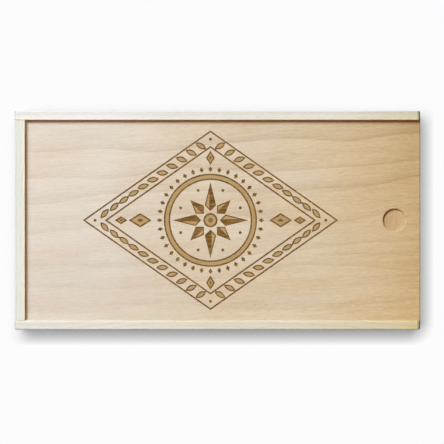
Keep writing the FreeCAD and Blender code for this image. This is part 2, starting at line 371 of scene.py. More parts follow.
class GiftBoxStage(bpy.types.PropertyGroup):
    """Places and strengths of the camera, lamps and floor."""

    view_x: place("View along", "Camera's place along the box", 4 * MM)
    view_y: place("View across", "Camera's place across the box", -1.5 * MM)
    view_width: length("View width", "Width of the picture at the box's rim", 385.4 * MM)
    view_distance: length("View distance", "Camera's height above the rim", 4.5)
    key_x: place("Key along", "Key lamp's place along the box", -2.1)
    key_y: place("Key across", "Key lamp's place across the box", 2.5)
    key_z: place("Key height", "Key lamp's height", 3.84)
    key_size: length("Key size", "Side of the square key lamp", 2.2)
    key: colour("Key", "Colour of the key lamp", (0.783, 0.925, 1.0))
    key_power: bpy.props.FloatProperty(
        name="Key power", description="Strength of the key lamp", default=315.0, min=0.0, unit="POWER")
    sky: colour("Sky", "Even light from above, warm as the room's walls", (0.25, 0.11, 0.035))
    table: colour("Table", "Even light from below, as off a pale table", (0.66, 0.64, 0.61))
    background: colour("Background", "Floor and backdrop as the camera sees them", (0.973, 0.973, 0.973))
    shade: colour("Shade", "Floor in the box's deepest shade", (0.10, 0.10, 0.10))
    shade_reach: length("Shade reach", "How far the box's shade spreads on the floor", 16 * MM)
    floor_size: length("Floor size", "Side of the square floor", 12.0)


class Socket:
    """An output in a node tree. Sums and products on it add Math nodes, and node() adds any other."""

    def __init__(self, tree, output=None):
        self.tree = tree
        self.output = output

    def feed(self, entry, value):
        """Sets an input to a plain value, or links one output or a list of them to it."""
        if isinstance(value, Socket):
            self.tree.links.new(value.output, entry)
        elif isinstance(value, list):
            for each in value:
                self.feed(entry, each)
        else:
            entry.default_value = value

    def node(self, kind, sockets=None, give=0, **settings):
        """Adds a node with its settings first and its sockets next, and gives one of its outputs."""
        added = self.tree.nodes.new(kind)
        for name, setting in settings.items():
            setattr(added, name, setting)
        for name, value in (sockets or {}).items():
            self.feed(added.inputs[name], value)
        return Socket(self.tree, added.outputs[give])

    def other(self, give):
        """Another output of the same node."""
        return Socket(self.tree, self.output.node.outputs[give])

    def math(self, operation, *values):
        """A Math node on this value and others."""
        return self.node("ShaderNodeMath", dict(enumerate((self, *values))), operation=operation)

    def after(self, operation, value):
        """A Math node with a plain value first and this one second."""
        return self.node("ShaderNodeMath", {0: value, 1: self}, operation=operation)

    def __add__(self, value):
        return self.math("ADD", value)

    def __radd__(self, value):
        return self.after("ADD", value)

    def __sub__(self, value):
        return self.math("SUBTRACT", value)

    def __rsub__(self, value):
        return self.after("SUBTRACT", value)

    def __mul__(self, value):
        return self.math("MULTIPLY", value)

    def __rmul__(self, value):
        return self.after("MULTIPLY", value)

    def __truediv__(self, value):
        return self.math("DIVIDE", value)

    def __rtruediv__(self, value):
        return self.after("DIVIDE", value)

    def __pow__(self, value):
        return self.math("POWER", value)

    def __rpow__(self, value):
        return self.after("POWER", value)

    def __neg__(self):
        return self.after("SUBTRACT", 0.0)

    def square_root(self):
        """A Math node with this value's square root."""
        return self.math("SQRT")


def rgba(plain):
    """A colour with full alpha, as colour sockets take it."""
    return (*plain, 1.0)


def point(root, x, y, z=0.0):
    """A vector from three values."""
    return root.node("ShaderNodeCombineXYZ", {"X": x, "Y": y, "Z": z})


def mixed(share, first, second):
    """A colour between two: the first where share is 0, the second where it is 1."""
    return share.node("ShaderNodeMix", {0: share, 6: first, 7: second}, give=2, data_type="RGBA")


def dimmed(tone, factor):
    """A colour times a number."""
    return tone.node("ShaderNodeVectorMath", {0: tone, "Scale": factor}, operation="SCALE")


def tinged(tone, factors):
    """A colour times another, part by part."""
    return tone.node("ShaderNodeVectorMath", {0: tone, 1: factors}, operation="MULTIPLY")


def smooth_step(value, edge_shares):
    """0 below the first edge, 1 above the second and smooth between."""
    low, high = edge_shares
    return value.node(
        "ShaderNodeMapRange", {"Value": value, "From Min": low, "From Max": high},
        interpolation_type="SMOOTHSTEP")


# Wood

class Grain:
    """Distances along, across and through a piece's grain, in metres, and patterns that follow it."""

    def __init__(self, root, axes, shift=0.0, lean=0.0):
        spot = root.node("ShaderNodeTexCoord", give="Object")
        turned = root.node("ShaderNodeMapping", {"Vector": spot, "Rotation": (0.0, 0.0, -lean)})
        split = root.node("ShaderNodeSeparateXYZ", {"Vector": turned})
        self.root = root
        self.axes = axes
        self.shift = shift
        self.normal = spot.other("Normal")
        self.lengthwise = root.node("ShaderNodeSeparateXYZ", {"Vector": spot}, give="X")
        self.sidewise = self.lengthwise.other("Y")
        self.along, self.across, self.through = [split.other(name) for name in axes]

    def streaks(self, run, width, detail=FINE_DETAIL):
        """Soft noise around a half, drawn out along the grain."""
        spot = point(self.root, self.along / run + self.shift, self.across / width, self.through / width)
        return self.root.node("ShaderNodeTexNoise", {"Vector": spot, "Scale": 1.0, "Detail": detail})

    def contour_rings(self, figure):
        """Growth rings on a sliced face, along a slow wave: 1 at each ring's sharp edge, fading behind it."""
        wave = self.streaks(figure.ring_length, figure.ring_width, PLAIN_DETAIL)
        level = self.across / figure.ring_spacing + wave * figure.ring_swing
        return (1 - level.math("FRACT")) ** RING_SHARPNESS

    def pith_rings(self, figure, pith_across, pith_through):
        """Growth rings of a sawn board around its pith, pale at first and dark at each ring's end."""
        wave = self.streaks(figure.ring_length, figure.ring_width, PLAIN_DETAIL)
        wander = (wave - NOISE_MIDDLE) * figure.ring_swing
        side = self.across - pith_across + wander
        depth = self.through - pith_through + wander
        radius = (side * side + depth * depth).square_root()
        return (radius / figure.ring_spacing).math("FRACT") ** RING_SHARPNESS

    def pores(self, figure):
        """Short thin pores and flecks: 1 in a pore, 0 elsewhere."""
        noise = self.streaks(figure.pore_length, figure.pore_width, PLAIN_DETAIL)
        return smooth_step(noise, PORE_EDGE_SHARES)

    def end_grain(self):
        """1 where the surface cuts across the grain, 0 where it lies along it."""
        facing = self.root.node("ShaderNodeSeparateXYZ", {"Vector": self.normal}, give=self.axes[0])
        return smooth_step(facing.math("ABSOLUTE"), END_GRAIN_EDGE_SHARES)


class Surface:
    """A new material with its node tree and shader."""

    def __init__(self, name):
        self.material = bpy.data.materials.new(name)
        self.material.use_nodes = True
        self.root = Socket(self.material.node_tree)
        self.shader = self.material.node_tree.nodes["Principled BSDF"]

    def set(self, **values):
        """Sets or links the shader's inputs, with the spaces in their names written as underscores."""
        for name, value in values.items():
            self.root.feed(self.shader.inputs[name.replace("_", " ")], value)

    def emboss(self, height, relief):
        """Raises the surface by a height times a relief."""
        self.set(Normal=self.root.node("ShaderNodeBump", {"Height": height, "Distance": relief}))


def warmth_and_light_falloff(grain):
    """From 0 at the closed end of the box to 1 at the open end, uneven along the grain; it makes the wood
    warmer and darker there, partly in its own tone and partly as painted falloff of the light.
    """
    low, high = cad_box
    share = (grain.lengthwise - low.x) / (high.x - low.x) - WARMTH_MIDDLE_SHARE
    level = WARMTH_LEVEL_SHARE + share * WARMTH_SLOPE + share * share * share * WARMTH_BEND
    spread = (grain.streaks(TINGE_LENGTH, TINGE_WIDTH) - NOISE_MIDDLE) * WARMTH_SPREAD_SHARE
    return (level + spread).math("MAXIMUM", 0.0).math("MINIMUM", 1.0)


def clouds(grain, size_share=1.0):
    """Soft clouds of another tinge."""
    noise = grain.streaks(TINGE_LENGTH * size_share, TINGE_WIDTH * size_share)
    return smooth_step(noise, TINGE_EDGE_SHARES) * TINGE_SHARE


def shade_wood(surface, grain, figure, tone, rings, strength=1.0):
    """Shades a tone with a wood's rings, bands, fibres and pores, and sets roughness and relief."""
    bands = grain.streaks(figure.band_length, figure.band_width) - NOISE_MIDDLE
    fibres = grain.streaks(figure.fibre_length, figure.fibre_width) - NOISE_MIDDLE
    ripples = grain.streaks(RIPPLE_LENGTH, RIPPLE_WIDTH) - NOISE_MIDDLE
    pores = grain.pores(figure)
    light = bands * figure.band_share + fibres * figure.fibre_share + ripples * RIPPLE_SHARE
    light = (light - rings * figure.ring_share - pores * figure.pore_share) * strength
    tinge = point(surface.root, *[1 + light * share for share in GRAIN_TINT_SHARES])
    surface.set(
        Base_Color=tinged(tone, tinge),
        Roughness=WOOD_ROUGHNESS + fibres * ROUGHNESS_SPREAD,
        Specular_IOR_Level=WOOD_GLOSS,
    )
    surface.emboss(fibres - pores, figure.relief)


def painted_groove_shade(grain):
    """1 on the lid beside the rails and the closed end, and 0 away from them: painted shade that darkens and
    browns the lid there.
    """
    side_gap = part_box("back_side")[0].y - grain.sidewise.math("ABSOLUTE")
    end_gap = grain.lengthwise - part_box("closed_end")[1].x
    return 1 - smooth_step(side_gap.math("MINIMUM", end_gap) / GROOVE_SHADE_WIDTH, GROOVE_SHADE_EDGE_SHARES)


def lid_veneer(colours):
    """Sliced face veneer of the lid, warmer and darker towards the open end, partly in its own tone and
    partly as painted falloff of the light, with painted light and shade across it, darkest at its back
    corner, and painted shade beside the rails and the closed end.
    """
    surface = Surface("lid_veneer")
    grain = Grain(surface.root, "XYZ", LID_SHIFT, LID_LEAN)
    pale = mixed(clouds(grain), rgba(colours.lid_pale), rgba(colours.lid_rosy))
    warm = warmth_and_light_falloff(grain)
    # Painted light and shade across the lid: lighter towards its back at the closed end, darker towards its
    # back at the open end
    back = grain.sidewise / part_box(LID_FACE)[1].y
    light = 1 + back * (BACK_LIGHT_SHARE - warm * BACK_SHADE_SHARE)
    amber = warm * warm * (1 - warm)
    # Painted shade beside the rails and the closed end, darker and browner than the wood around it
    groove_shade = painted_groove_shade(grain)
    shares = zip(AMBER_SHARES, GROOVE_SHADE_SHARES)
    tinge = point(surface.root, *[light + amber * first + groove_shade * second for first, second in shares])
    tone = tinged(mixed(warm, pale, rgba(colours.lid_warm)), tinge)
    rings = grain.contour_rings(LID_FIGURE) * (1 + back * BACK_RING_SHARE)
    shade_wood(surface, grain, LID_FIGURE, tone, rings, 1 + warm * WARM_GRAIN_SHARE)
    return surface.material


def plain_veneer(colours):
    """Plainer veneer of the base and of the lid's underside."""
    surface = Surface("plain_veneer")
    grain = Grain(surface.root, "XYZ", BASE_SHIFT)
    tone = mixed(clouds(grain), rgba(colours.base_wood), rgba(colours.lid_rosy))
    shade_wood(surface, grain, LID_FIGURE, tone, grain.contour_rings(LID_FIGURE))
    return surface.material


def ply_core(colours):
    """Core of the plywood, with its grain across the box."""
    surface = Surface("ply_core")
    grain = Grain(surface.root, "YXZ", CORE_SHIFT)
    tone = mixed(clouds(grain, CORE_TINGE_SHARE), rgba(colours.core_wood), rgba(colours.core_rosy))
    shade_wood(surface, grain, CORE_FIGURE, tone, grain.contour_rings(CORE_FIGURE))
    return surface.material


def edge_band(first, second, width):
    """1 on an edge and 0 away from it, from the distances to the two faces that meet there."""
    return 1 - smooth_step(first.math("MAXIMUM", second) / width, EDGE_FADE_SHARES)


def board_wood(node, cut, colours):
    """Planed board: rings around a pith beside it, darker, pored end grain, painted light and shade along its
    outer upper edge, a lighter inner upper edge that is partly sanded wear and partly a painted highlight,
    and painted shade on its top at its far end.
    """
    surface = Surface("board_wood_" + node)
    grain = Grain(surface.root, cut.axes, cut.shift)
    low, high = [dict(zip("XYZ", corner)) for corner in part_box(node)]
    along, across, through = cut.axes
    rings = grain.pith_rings(
        BOARD_FIGURE,
        (low[across] + high[across]) / 2 + cut.pith_across,
        (low[through] + high[through]) / 2 + cut.pith_through)
    inner, outer = (high, low) if cut.inward > 0 else (low, high)
    from_top = high[across] - grain.across
    inner_edge = edge_band((inner[through] - grain.through).math("ABSOLUTE"), from_top, UPPER_EDGE_WIDTH)
    outer_edge = edge_band((outer[through] - grain.through).math("ABSOLUTE"), from_top, UPPER_EDGE_WIDTH)
    # Painted shade on the top at the far end along the grain: the sides' ends at the open end
    shaded_end = edge_band(high[along] - grain.along, from_top, END_SHADE_WIDTH)
    ends = grain.end_grain()
    end_pores = grain.streaks(END_PORE_WIDTH, END_PORE_WIDTH, PLAIN_DETAIL) - NOISE_MIDDLE
    # Painted light and shade on the outer upper edge, and painted shade on the top at the far end
    light = 1 + outer_edge * cut.outer_edge_light_share + shaded_end * cut.end_shade_share
    light = light - ends * (1 - END_GRAIN_TONE_SHARE) + ends * end_pores * END_PORE_SHARE
    warm = warmth_and_light_falloff(grain) ** BOARD_WARMTH_POWER
    plain = mixed(warm, rgba(getattr(colours, cut.pale)), rgba(getattr(colours, cut.warm)))
    # Inner upper edge lighter and creamier: partly sanded wear, partly a painted highlight
    cream = point(surface.root, *[light + inner_edge * share for share in INNER_WEAR_AND_HIGHLIGHT_SHARES])
    shade_wood(surface, grain, BOARD_FIGURE, tinged(plain, cream), rings)
    return surface.material


def burnt_line(colours):
    """Floors and walls of the engraved lines, burnt unevenly along the grain."""
    surface = Surface("burnt_line")
    grain = Grain(surface.root, "XYZ", LID_SHIFT, LID_LEAN)
    char = grain.streaks(BURN_LENGTH, BURN_WIDTH)
    surface.set(
        Base_Color=mixed(smooth_step(char, BURN_EDGE_SHARES), rgba(colours.burnt), rgba(colours.browned)),
        Roughness=BURN_ROUGHNESS - char * ROUGHNESS_SPREAD,
        Specular_IOR_Level=BURN_GLOSS,
    )
    surface.emboss(char, LID_FIGURE.relief)
    return surface.material


def tinted_field(colours):
    """Shallow browned fields, with the burner's fine parallel passes and the grain showing through."""
    surface = Surface("tinted_field")
    grain = Grain(surface.root, "XYZ", LID_SHIFT, LID_LEAN)
    passes = (grain.across * 2 / RASTER_PITCH).math("PINGPONG", 1.0)
    char = grain.streaks(BURN_LENGTH, BURN_WIDTH) * SCORCH_SHARE
    tone = dimmed(mixed(char, rgba(colours.tinted), rgba(colours.browned)), 1 - passes * RASTER_SHARE)
    shade_wood(surface, grain, LID_FIGURE, tone, grain.contour_rings(LID_FIGURE))
    return surface.material


def brad_steel(colours):
    """Brushed steel of the brads' heads."""
    surface = Surface("brad_steel")
    grain = Grain(surface.root, "XYZ")
    brushed = grain.streaks(BRUSH_LENGTH, BRUSH_WIDTH)
    dark = [part * STEEL_DARK_SHARE for part in colours.steel]
    surface.set(
        Base_Color=mixed(brushed, rgba(dark), rgba(colours.steel)),
        Metallic=1.0,
        Roughness=STEEL_ROUGHNESS + brushed * STEEL_ROUGHNESS_SPREAD,
    )
    return surface.material


def coat(node, material):
    """Gives a CAD node its finish."""
    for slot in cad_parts[node].material_slots:
        slot.material = material


# Outlines of the engraving, in millimetres around the panel's middle

def circle(root, radius, points=ROUND_POINTS):
    """A round outline."""
    sockets = {"Resolution": points, "Radius": radius}
    return root.node("GeometryNodeCurvePrimitiveCircle", sockets, mode="RADIUS")


def moved(shape, x=0.0, y=0.0, z=0.0):
    """A shape moved."""
    return shape.node("GeometryNodeTransform", {"Geometry": shape, "Translation": point(shape, x, y, z)})


def stretched(shape, x, y, z=1.0):
    """A shape stretched."""
    return shape.node("GeometryNodeTransform", {"Geometry": shape, "Scale": point(shape, x, y, z)})


def joined(shapes):
    """Several shapes as one."""
    return shapes[0].node("GeometryNodeJoinGeometry", {"Geometry": shapes})


def lozenge(root, run, breadth):
    """A lozenge from tip to tip, along and across."""
    return stretched(circle(root, 1.0, LOZENGE_POINTS), run / 2, breadth / 2)


def lozenge_share(run, breadth, gap):
    """How much of its size a lozenge keeps when its sides move in by a gap."""
    side = (run * run + breadth * breadth).square_root()
    return 1 - gap * 2 * side / (run * breadth)


def lens(root, run, breadth):
    """A pointed lens between two parabolas."""
    ring = circle(root, 1.0, LENS_POINTS)
    spot = root.node("ShaderNodeSeparateXYZ", {"Vector": root.node("GeometryNodeInputPosition")})
    bulge = spot.other("Y").math("SIGN") * (1 - spot * spot)
    bent = point(root, spot * run / 2, bulge * breadth / 2)
    return root.node("GeometryNodeSetPosition", {"Geometry": ring, "Position": bent})


def lens_inside(root, run, breadth, gap):
    """A lens that lies a gap inside another."""
    slope = breadth * 2 / run
    lean = slope / (1 + slope * slope).square_root()
    return lens(root, run - 2 * gap / lean, breadth - 2 * gap)


def polygon(root, corners):
    """An outline with four corners."""
    sockets = {f"Point {i + 1}": point(root, *corner) for i, corner in enumerate(corners)}
    return root.node("GeometryNodeCurvePrimitiveQuadrilateral", sockets, mode="POINTS")


def halfway(first, second):
    """The point between two."""
    return [(a + b) / 2 for a, b in zip(first, second)]


def triangle_inside(corners, gap):
    """Corners of a triangle whose sides lie a gap inside those of another."""
    (ax, ay), (bx, by), (cx, cy) = corners
    sides = [
        ((bx - cx) * (bx - cx) + (by - cy) * (by - cy)).square_root(),
        ((cx - ax) * (cx - ax) + (cy - ay) * (cy - ay)).square_root(),
        ((ax - bx) * (ax - bx) + (ay - by) * (ay - by)).square_root(),
    ]
    girth = sum(sides)
    middle = [sum(side * corner[axis] for side, corner in zip(sides, corners)) / girth for axis in (0, 1)]
    doubled_area = (bx - ax) * (cy - ay) - (cx - ax) * (by - ay)
    share = 1 - gap * girth / doubled_area
    return [[m + (c - m) * share for m, c in zip(middle, corner)] for corner in corners]


def spread_round(shape, copies, start=0.0):
    """Copies of a shape turned round the panel's middle."""
    turn = shape.node("GeometryNodeInputIndex") * (FULL_TURN / copies) + start
    spots = shape.node("GeometryNodePoints", {"Count": copies})
    sockets = {"Points": spots, "Instance": shape, "Rotation": point(shape, 0.0, 0.0, turn)}
    placed = shape.node("GeometryNodeInstanceOnPoints", sockets)
    return shape.node("GeometryNodeRealizeInstances", {"Geometry": placed})


def strung_along(path, shape, side_count, tilt, corners):
    """Copies of a shape along a lozenge: at its corners only, or everywhere between them."""
    spots = path.node(
        "GeometryNodeCurveToPoints", {"Curve": path, "Count": side_count * LOZENGE_SIDES}, mode="COUNT")
    way = path.node("ShaderNodeSeparateXYZ", {"Vector": spots.other("Tangent")})
    index = path.node("GeometryNodeInputIndex")
    mirror = 1 - 2 * (index / side_count).math("FLOOR").math("FLOORED_MODULO", MIRROR_PERIOD)
    turn = way.other("Y").math("ARCTAN2", way) + mirror * tilt
    step = index.math("FLOORED_MODULO", side_count)
    chosen = step.math("LESS_THAN" if corners else "GREATER_THAN", CORNER_LIMIT)
    sockets = {
        "Points": spots,
        "Selection": chosen,
        "Instance": shape,
        "Rotation": point(path, 0.0, 0.0, turn),
    }
    placed = path.node("GeometryNodeInstanceOnPoints", sockets)
    return path.node("GeometryNodeRealizeInstances", {"Geometry": placed})


class Engraving:
    """Outlines between plain wood and burnt lines, and between burnt lines and tinted fields."""

    def __init__(self, root, sizes):
        self.root = root
        self.sizes = sizes
        self.line_edges = []
        self.tint_edges = []
        run, breadth = sizes.panel_length, sizes.panel_breadth
        share = lozenge_share(run, breadth, (sizes.band_width + sizes.line_width) / 2)
        self.band = lozenge(root, run * share, breadth * share)

    def frame_lines(self):
        """The two lines of the lozenge frame, with dots at the band's corners."""
        sizes = self.sizes
        run, breadth, line = sizes.panel_length, sizes.panel_breadth, sizes.line_width
        for gap in (0.0, line, sizes.band_width, sizes.band_width + line):
            share = lozenge_share(run, breadth, gap)
            self.line_edges.append(lozenge(self.root, run * share, breadth * share))
        dot = circle(self.root, sizes.dot_radius, DOT_POINTS)
        self.line_edges.append(strung_along(self.band, dot, sizes.strand_count, 0.0, True))

    def rope(self):
        """Slanting strands in the frame's band."""
        sizes = self.sizes
        run, breadth = sizes.strand_length, sizes.strand_breadth
        outer = lens(self.root, run, breadth)
        inner = lens_inside(self.root, run, breadth, sizes.line_width * STRAND_LINE_SHARE)
        self.line_edges.append(strung_along(self.band, outer, sizes.strand_count, STRAND_TILT, False))
        self.tint_edges.append(strung_along(self.band, inner, sizes.strand_count, STRAND_TILT, False))

    def ring(self):
        """A tinted ring between two lines, with chips outside it."""
        sizes = self.sizes
        inner = sizes.ring_radius + sizes.line_width
        outer = inner + sizes.ring_width
        rim = outer + sizes.line_width
        self.line_edges.extend(circle(self.root, radius) for radius in (sizes.ring_radius, rim))
        self.tint_edges.extend(circle(self.root, radius) for radius in (inner, outer))
        chip = lozenge(self.root, sizes.chip_length, sizes.chip_breadth)
        reach = rim + sizes.chip_length / 2 + sizes.chip_length * CHIP_GAP_SHARE
        self.line_edges.append(spread_round(moved(chip, reach), sizes.chip_count))

    def rays(self, reach, start):
        """Four rays of the star, each with one half tinted."""
        sizes = self.sizes
        half = sizes.ray_breadth / 2
        heel = (sizes.ray_root, 0.0)
        tip = (reach, 0.0)
        shoulder = (sizes.ray_shoulder, half)
        outline = polygon(self.root, [heel, (sizes.ray_shoulder, -half), tip, shoulder])
        field = triangle_inside([heel, tip, shoulder], sizes.line_width * RAY_LINE_SHARE)
        inner = polygon(self.root, [*field, halfway(field[2], field[0])])
        self.line_edges.append(spread_round(outline, MAIN_RAYS, start))
        self.tint_edges.append(spread_round(inner, MAIN_RAYS, start))

    def star(self):
        """The compass star: hub, main rays, cross rays and dots between their tips."""
        sizes = self.sizes
        eighth = FULL_TURN / MAIN_RAYS / 2
        self.rays(sizes.main_reach, 0.0)
        self.rays(sizes.cross_reach, eighth)
        self.line_edges.append(circle(self.root, sizes.hub_radius))
        self.tint_edges.append(circle(self.root, sizes.hub_radius * HUB_FIELD_SHARE))
        self.tint_edges.append(circle(self.root, sizes.hub_radius * HUB_EYE_SHARE))
        dot = moved(circle(self.root, sizes.dot_radius, DOT_POINTS), sizes.ring_radius * STAR_DOT_SHARE)
        self.line_edges.append(spread_round(dot, MAIN_RAYS * 2, eighth / 2))

    def accent(self, reach, run, breadth, start):
        """A tinted lozenge with a dark eye, once on each side of the star."""
        share = lozenge_share(run, breadth, self.sizes.line_width)
        outlines = [lozenge(self.root, run * part, breadth * part) for part in (1.0, share, ACCENT_EYE_SHARE)]
        outer, inner, eye = [spread_round(moved(outline, reach), ACCENT_SIDES, start) for outline in outlines]
        self.line_edges.append(outer)
        self.tint_edges.extend((inner, eye))

    def accents(self):
        """Lozenges in the frame's corners."""
        sizes = self.sizes
        tip = sizes.panel_length / 2
        run, breadth = sizes.accent_length, sizes.accent_breadth
        near, far = ACCENT_PLACE_SHARES
        self.accent(tip * near, run, breadth, 0.0)
        self.accent(tip * far, run * SMALL_ACCENT_SHARE, breadth * SMALL_ACCENT_SHARE, 0.0)
        upright = sizes.panel_breadth / 2 * UPRIGHT_PLACE_SHARE
        self.accent(upright, run * UPRIGHT_SHARE, breadth * UPRIGHT_SHARE, QUARTER_TURN)


def filled(outlines):
    """Flat faces between outlines."""
    return outlines.node("GeometryNodeFillCurve", {"Curve": outlines}, mode="TRIANGLES")


def wall(outlines, top, bottom):
    """Upright faces under outlines, from one depth to another."""
    edges = outlines.node("GeometryNodeCurveToMesh", {"Curve": moved(outlines, z=-top)})
    sockets = {"Mesh": edges, "Offset": point(outlines, *DOWN), "Offset Scale": bottom - top}
    return outlines.node("GeometryNodeExtrudeMesh", sockets, mode="EDGES")


def painted(shape, material):
    """A shape with its material."""
    real = shape.node("GeometryNodeRealizeInstances", {"Geometry": shape})
    return shape.node("GeometryNodeSetMaterial", {"Geometry": real, "Material": material})


def engraving_tree(values, veneer, burnt, tinted):
    """Geometry nodes that lay the engraved top on the lid face's blank."""
    tree = bpy.data.node_groups.new("lid_engraving", "GeometryNodeTree")
    tree.interface.new_socket(name="Geometry", in_out="INPUT", socket_type="NodeSocketGeometry")
    tree.interface.new_socket(name="Geometry", in_out="OUTPUT", socket_type="NodeSocketGeometry")
    for name, value in values.items():
        kind = "NodeSocketInt" if isinstance(value, int) else "NodeSocketFloat"
        tree.interface.new_socket(name=name, in_out="INPUT", socket_type=kind)
    root = Socket(tree).node("NodeGroupInput", give="Geometry")
    sizes = SimpleNamespace(**{
        name: root.other(name) if isinstance(value, int) else root.other(name) / MM
        for name, value in values.items()
    })

    engraving = Engraving(root, sizes)
    engraving.frame_lines()
    engraving.rope()
    engraving.ring()
    engraving.star()
    engraving.accents()

    line_edges = moved(joined(engraving.line_edges), sizes.centre)
    tint_edges = moved(joined(engraving.tint_edges), sizes.centre)
    outline = root.node(
        "GeometryNodeCurvePrimitiveQuadrilateral",
        {"Width": sizes.top_length, "Height": sizes.top_breadth}, mode="RECTANGLE")
    recess = moved(circle(root, sizes.recess_radius), sizes.recess_place)
    skin = filled(joined([moved(outline, sizes.top_place), recess, line_edges]))
    line_floors = moved(filled(joined([line_edges, tint_edges])), z=-sizes.line_depth)
    tint_floors = moved(filled(tint_edges), z=-sizes.tint_depth)
    line_walls = wall(line_edges, 0.0, sizes.line_depth)
    tint_walls = wall(tint_edges, sizes.tint_depth, sizes.line_depth)
    top = joined([
        painted(skin, veneer),
        painted(joined([line_floors, line_walls, tint_walls]), burnt),
        painted(tint_floors, tinted),
    ])
    level = moved(stretched(top, MM, MM, MM), z=root.other("top_level"))
    whole = root.node(
        "GeometryNodeMergeByDistance", {"Geometry": joined([root, level]), "Distance": MERGE_GAP})
    output = tree.nodes.new("NodeGroupOutput")
    root.feed(output.inputs["Geometry"], whole)
    return tree


# The engraved lid face

def ease_profile(ease):
    """Pairs of how far an eased edge stands in and how far it lies below the top."""
    angles = [QUARTER_TURN * step / EASE_STEPS for step in range(EASE_STEPS + 1)]
    return [(ease * (1 - math.sin(angle)), ease * (1 - math.cos(angle))) for angle in angles]


def rectangle_points(low, high, inset, z):
    """Corners of the lid's outline, drawn in by an inset."""
    left, right = low.x + inset, high.x - inset
    front, back = low.y + inset, high.y - inset
    return [(left, front, z), (right, front, z), (right, back, z), (left, back, z)]


def circle_points(middle, radius, z):
    """Points round the recess."""
    angles = [FULL_TURN * i / ROUND_POINTS for i in range(ROUND_POINTS)]
    return [(middle + radius * math.cos(a), radius * math.sin(a), z) for a in angles]


def skirt(mesh, rings):
    """Faces between closed rings of points. Gives the edges of the last ring."""
    loops = [[mesh.verts.new(spot) for spot in ring] for ring in rings]
    for upper, lower in zip(loops, loops[1:]):
        for i in range(len(upper)):
            mesh.faces.new((upper[i - 1], upper[i], lower[i], lower[i - 1]))
    last = loops[-1]
    return [mesh.edges.get((last[i - 1], last[i])) for i in range(len(last))]


def lid_face_blank(sizes, recess_place, recess_radius):
    """The lid's face ply without its top: eased edges, the recess's wall and the underside."""
    low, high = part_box(LID_FACE)
    edges = [
        rectangle_points(low, high, inset, high.z - drop)
        for inset, drop in ease_profile(sizes.edge_ease)
    ]
    edges.append(rectangle_points(low, high, 0.0, low.z))
    rim = [
        circle_points(recess_place, recess_radius + inset, high.z - drop)
        for inset, drop in ease_profile(sizes.rim_ease)
    ]
    rim.append(circle_points(recess_place, recess_radius, low.z))
    mesh = bmesh.new()
    hem = skirt(mesh, edges) + skirt(mesh, rim)
    bmesh.ops.triangle_fill(mesh, use_beauty=True, edges=hem)
    data = bpy.data.meshes.new("engraved_lid_face")
    mesh.to_mesh(data)
    mesh.free()
    return data


def close_mesh(data):
    """Merges doubled points and turns all faces outwards."""
    mesh = bmesh.new()
    mesh.from_mesh(data)
    bmesh.ops.remove_doubles(mesh, verts=mesh.verts, dist=MERGE_GAP)
    bmesh.ops.recalc_face_normals(mesh, faces=mesh.faces)
    mesh.to_mesh(data)
    mesh.free()


def baked_mesh(piece, tree, values):
    """The mesh that a geometry tree makes of a piece, with the modifier taken off again."""
    modifier = piece.modifiers.new(tree.name, "NODES")
    modifier.node_group = tree
    for item in tree.interface.items_tree:
        if item.in_out == "INPUT" and item.name in values:
            modifier[item.identifier] = values[item.name]
    graph = bpy.context.evaluated_depsgraph_get()
    data = bpy.data.meshes.new_from_object(piece.evaluated_get(graph))
    piece.modifiers.remove(modifier)
    return data


def make_engraved_lid(sizes, colours):
    """The lid's face ply with its engraving."""
    low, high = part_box(LID_FACE)
    recess_place, recess_radius = finger_recess()
    veneer = lid_veneer(colours)
    piece = bpy.data.objects.new("engraved_lid_face", lid_face_blank(sizes, recess_place, recess_radius))
    piece.data.materials.append(veneer)
    bpy.context.scene.collection.objects.link(piece)
    values = {name: getattr(sizes, name) for name in GiftBoxLid.__annotations__}
    values.update(
        top_length=high.x - low.x - 2 * sizes.edge_ease,
        top_breadth=high.y - low.y - 2 * sizes.edge_ease,
        top_place=(low.x + high.x) / 2,
        top_level=high.z,
        recess_place=recess_place,
        recess_radius=recess_radius + sizes.rim_ease,
    )
    tree = engraving_tree(values, veneer, burnt_line(colours), tinted_field(colours))
    piece.data = baked_mesh(piece, tree, values)
    close_mesh(piece.data)
    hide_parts(LID_FACE)
    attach(piece, LID_BODY)


# Stage

def seen_directly(root):
    """1 for rays from the camera and for those in gloss and glass, 0 for others."""
    seen = root.node("ShaderNodeLightPath", give="Is Camera Ray")
    glossy = seen.other("Is Glossy Ray")
    return seen.math("MAXIMUM", glossy).math("MAXIMUM", seen.other("Is Transmission Ray"))


def floor_finish(stage):
    """Pale floor with the box's short soft shade, seen from above only, and clear to the light from below."""
    material = bpy.data.materials.new("floor")
    material.use_nodes = True
    tree = material.node_tree
    tree.nodes.remove(tree.nodes["Principled BSDF"])
    root = Socket(tree)
    flat = math.hypot(stage.key_x, stage.key_y)
    lean = (
        math.sin(SHADE_LEAN) * stage.key_x / flat,
        math.sin(SHADE_LEAN) * stage.key_y / flat,
        math.cos(SHADE_LEAN),
    )
    open_share = root.node(
        "ShaderNodeAmbientOcclusion", {"Distance": stage.shade_reach, "Normal": point(root, *lean)},
        give="AO", samples=SHADE_SAMPLES)
    covered = (1 - open_share) / SHADE_FULL_SHARE
    shown = root.node(
        "ShaderNodeEmission", {"Color": mixed(covered, rgba(stage.background), rgba(stage.shade))})
    clear = root.node("ShaderNodeBsdfTransparent")
    seen = seen_directly(root) * (1 - root.node("ShaderNodeNewGeometry", give="Backfacing"))
    both = root.node("ShaderNodeMixShader", {0: seen, 1: clear, 2: shown})
    root.feed(tree.nodes["Material Output"].inputs["Surface"], both)
    return material


def make_floor(stage):
    """A square floor just under the box."""
    half = stage.floor_size / 2
    corners = [(-half, -half), (half, -half), (half, half), (-half, half)]
    data = bpy.data.meshes.new("floor")
    data.from_pydata([(x, y, cad_box[0].z - FLOOR_DROP) for x, y in corners], [], [range(len(corners))])
    data.materials.append(floor_finish(stage))
    floor = bpy.data.objects.new("floor", data)
    bpy.context.scene.collection.objects.link(floor)


